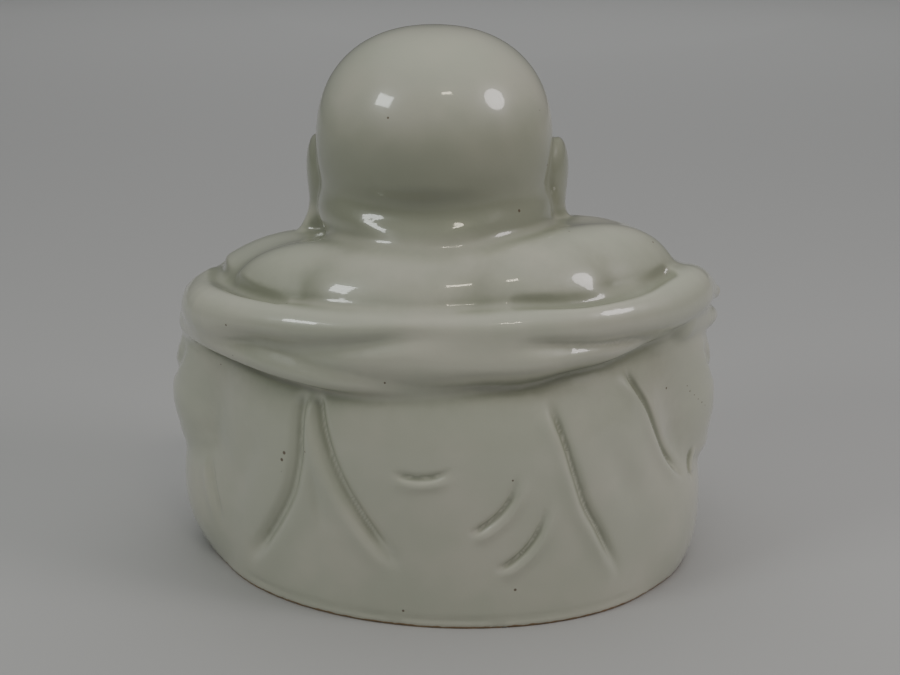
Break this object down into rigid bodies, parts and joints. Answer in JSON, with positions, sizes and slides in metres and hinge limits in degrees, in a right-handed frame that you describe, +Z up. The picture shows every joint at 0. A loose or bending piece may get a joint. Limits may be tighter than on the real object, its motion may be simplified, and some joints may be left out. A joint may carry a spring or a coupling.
{
  "type": "seated budai figure",
  "caption": "Seated, cross-legged budai with a shaved head, long ears, bare shoulders and belly, and a robe rolled down round its back, flat underneath; stands as an ornament.",
  "frame": {"origin": "on the ground, under the middle of the seat", "axes": "+Z up; the figure faces -Y; its left hand is on +X"},
  "size_m": [0.2605, 0.2037, 0.25],
  "materials": {
    "glaze": "clear glossy ivory white glaze over a cast body, matt and unglazed underneath"
  },
  "bodies": {
    "root": {"budai_figure": "glaze"}
  },
  "joints": []
}
